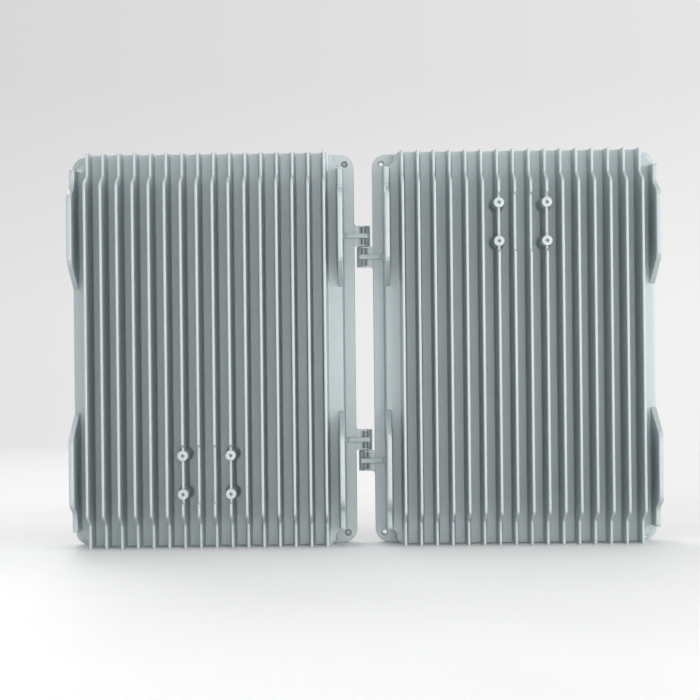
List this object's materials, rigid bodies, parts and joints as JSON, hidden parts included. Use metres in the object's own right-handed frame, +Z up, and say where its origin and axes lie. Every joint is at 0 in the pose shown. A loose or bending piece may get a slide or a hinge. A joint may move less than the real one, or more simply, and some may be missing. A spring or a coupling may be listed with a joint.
{
  "type": "string inverter",
  "caption": "Clamshell die-cast inverter housing with long cooling fins on both hinged halves, guard plates, bracket bosses, seal, boards and power parts inside.",
  "frame": {"origin": "centre of the open unit's footprint, on the plane that its lower end walls stand on", "axes": "+X from the lid half to the base half across the hinge, +Y from the finned outsides to the open insides, +Z up along the hinge pins"},
  "size_m": [0.639, 0.09, 0.426],
  "materials": {
    "cast_aluminium": "satin, fine shot-blasted and coated die casting, bluish grey",
    "seal_rubber": "matt",
    "bright_steel": "zinc plated",
    "grey_plastic": "moulded, fine texture",
    "board_laminate": "green solder mask",
    "capacitor_case": "moulded case with potted back",
    "black_resin": "satin black",
    "inductor_can": "drawn can filled with potting resin",
    "module_case": "moulded light grey"
  },
  "bodies": {
    "base": {"base_housing": "cast_aluminium", "gasket": "seal_rubber", "hinge_pin_top": "bright_steel", "hinge_pin_bottom": "bright_steel", "port_plug_1": "grey_plastic", "port_plug_2": "grey_plastic", "port_plug_3": "grey_plastic", "power_board": "board_laminate", "power_board_screw_1": "bright_steel", "power_board_screw_2": "bright_steel", "power_board_screw_3": "bright_steel", "power_board_screw_4": "bright_steel", "power_board_screw_5": "bright_steel", "power_board_screw_6": "bright_steel", "power_board_screw_7": "bright_steel", "power_board_screw_8": "bright_steel", "power_module_1": "module_case", "power_module_2": "module_case", "power_module_3": "module_case", "dc_link_capacitor_1": "capacitor_case", "dc_link_capacitor_2": "capacitor_case", "dc_link_capacitor_3": "capacitor_case", "dc_link_capacitor_4": "capacitor_case", "dc_link_capacitor_5": "capacitor_case", "dc_link_capacitor_6": "capacitor_case", "filter_choke_1": "black_resin", "filter_choke_2": "black_resin", "common_mode_choke": "black_resin", "grid_relay_1": "grey_plastic", "grid_relay_2": "grey_plastic", "grid_relay_3": "grey_plastic", "grid_relay_4": "grey_plastic", "surge_arrester": "grey_plastic", "current_sensor": "black_resin", "dc_terminal_block": "grey_plastic", "ac_terminal_block": "grey_plastic"},
    "lid": {"lid_housing": "cast_aluminium", "corner_screw_1": "bright_steel", "corner_screw_2": "bright_steel", "corner_screw_3": "bright_steel", "corner_screw_4": "bright_steel", "boost_inductor_1": "inductor_can", "boost_inductor_2": "inductor_can", "boost_inductor_3": "inductor_can", "boost_inductor_4": "inductor_can", "control_board": "board_laminate", "control_board_screw_1": "bright_steel", "control_board_screw_2": "bright_steel", "control_board_screw_3": "bright_steel", "control_board_screw_4": "bright_steel", "control_board_screw_5": "bright_steel", "processor_shield": "bright_steel", "supply_transformer": "black_resin", "radio_module": "bright_steel", "supply_capacitor_1": "black_resin", "supply_capacitor_2": "black_resin", "supply_capacitor_3": "black_resin", "link_connector": "grey_plastic"}
  },
  "joints": [
    {"name": "lid_hinge", "type": "hinge", "parent": "base", "child": "lid", "pos_m": [0, 0.0375, 0.213], "axis": [0, 0, -1], "range_deg": [0, 180]}
  ]
}
